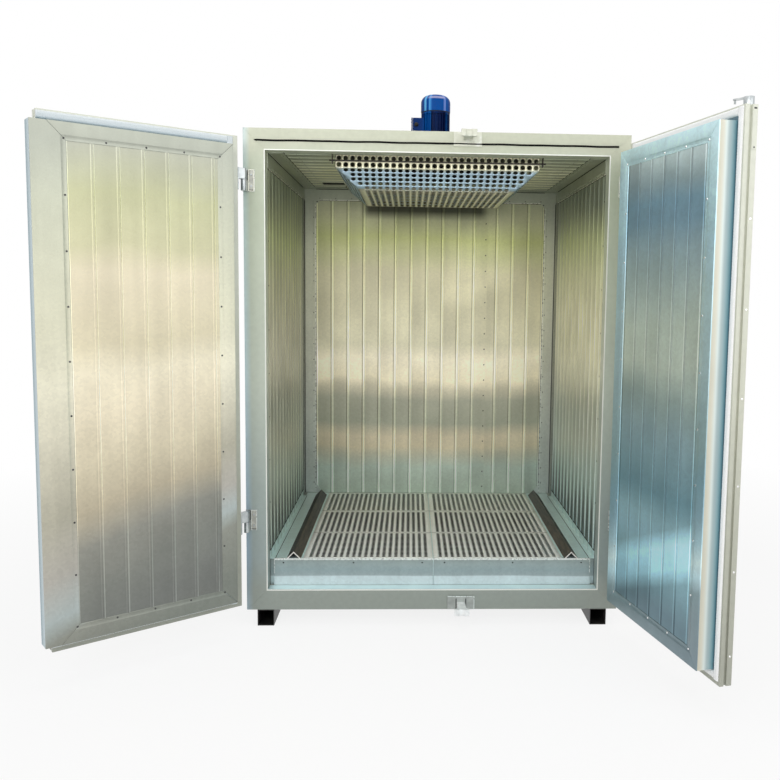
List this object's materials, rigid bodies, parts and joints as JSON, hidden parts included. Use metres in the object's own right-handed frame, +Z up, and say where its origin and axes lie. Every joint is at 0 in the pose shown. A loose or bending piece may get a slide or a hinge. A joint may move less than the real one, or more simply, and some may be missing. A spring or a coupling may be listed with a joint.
{
  "type": "powder coating oven",
  "caption": "Walk-in batch curing oven with a panelled chamber, perforated deck, ceiling fan guard, roof motor and hinged double doors with a turning lock bar.",
  "frame": {"origin": "on the ground, on the centre plane, in the plane of the front frame's face", "axes": "+Z up, +Y from the doorway to the back wall, +X to the right when facing the doorway"},
  "size_m": [2.8205, 2.415, 2.655],
  "materials": {
    "cabinet_coat": "satin powder coat, pale grey-green",
    "galvanised_sheet": "galvanised sheet, half bright",
    "black_paint": "satin black",
    "dark_steel": "hot rolled angle, brown scale",
    "motor_paint": "gloss blue",
    "plated_steel": "zinc plated",
    "black_seal": "matt",
    "woven_gasket": "braided glass cord"
  },
  "bodies": {
    "cabinet": {"left_wall": "cabinet_coat", "right_wall": "cabinet_coat", "back_wall": "cabinet_coat", "floor_panel": "cabinet_coat", "roof_panel": "cabinet_coat", "frame_left_stile": "cabinet_coat", "frame_right_stile": "cabinet_coat", "frame_header": "cabinet_coat", "frame_sill": "cabinet_coat", "left_skid": "black_paint", "right_skid": "black_paint", "chamber_trim": "galvanised_sheet", "skirting": "galvanised_sheet", "deck_bearers": "galvanised_sheet", "deck_edge_left": "galvanised_sheet", "deck_edge_right": "galvanised_sheet", "deck_fascia_left": "galvanised_sheet", "deck_fascia_right": "galvanised_sheet", "grille_front_left": "galvanised_sheet", "grille_middle_left": "galvanised_sheet", "grille_rear_left": "galvanised_sheet", "grille_front_right": "galvanised_sheet", "grille_middle_right": "galvanised_sheet", "grille_rear_right": "galvanised_sheet", "left_rail": "dark_steel", "right_rail": "dark_steel", "guard_collar": "galvanised_sheet", "guard_screen": "galvanised_sheet", "guard_rod_front": "dark_steel", "guard_rod_rear": "dark_steel", "motor_base": "motor_paint", "motor_body": "motor_paint", "motor_cowl": "motor_paint", "motor_box": "motor_paint", "header_seal": "black_seal", "top_keeper": "plated_steel", "bottom_keeper": "plated_steel", "left_frame_hinges": "plated_steel", "right_frame_hinges": "plated_steel"},
    "left_door": {"left_door_leaf": "cabinet_coat", "left_door_plug": "galvanised_sheet", "left_door_border": "galvanised_sheet", "left_door_gasket": "woven_gasket", "left_door_hinges": "plated_steel"},
    "right_door": {"right_door_leaf": "cabinet_coat", "right_door_plug": "galvanised_sheet", "right_door_border": "galvanised_sheet", "right_door_gasket": "woven_gasket", "right_door_hinges": "plated_steel", "lock_brackets": "plated_steel"},
    "lock_bar": {"lock_rod": "plated_steel", "top_claw": "plated_steel", "bottom_claw": "plated_steel", "lock_lever": "plated_steel"}
  },
  "joints": [
    {"name": "left_door_hinge", "type": "hinge", "parent": "cabinet", "child": "left_door", "pos_m": [-0.89, -0.04, 0], "axis": [0, 0, 1], "range_deg": [-32, 143]},
    {"name": "right_door_hinge", "type": "hinge", "parent": "cabinet", "child": "right_door", "pos_m": [0.89, -0.04, 0], "axis": [0, 0, 1], "range_deg": [-103, 72]},
    {"name": "lock_turn", "type": "hinge", "parent": "right_door", "child": "lock_bar", "pos_m": [1.13996, -0.75818, 0], "axis": [0, 0, 1], "range_deg": [-64, 26]}
  ]
}
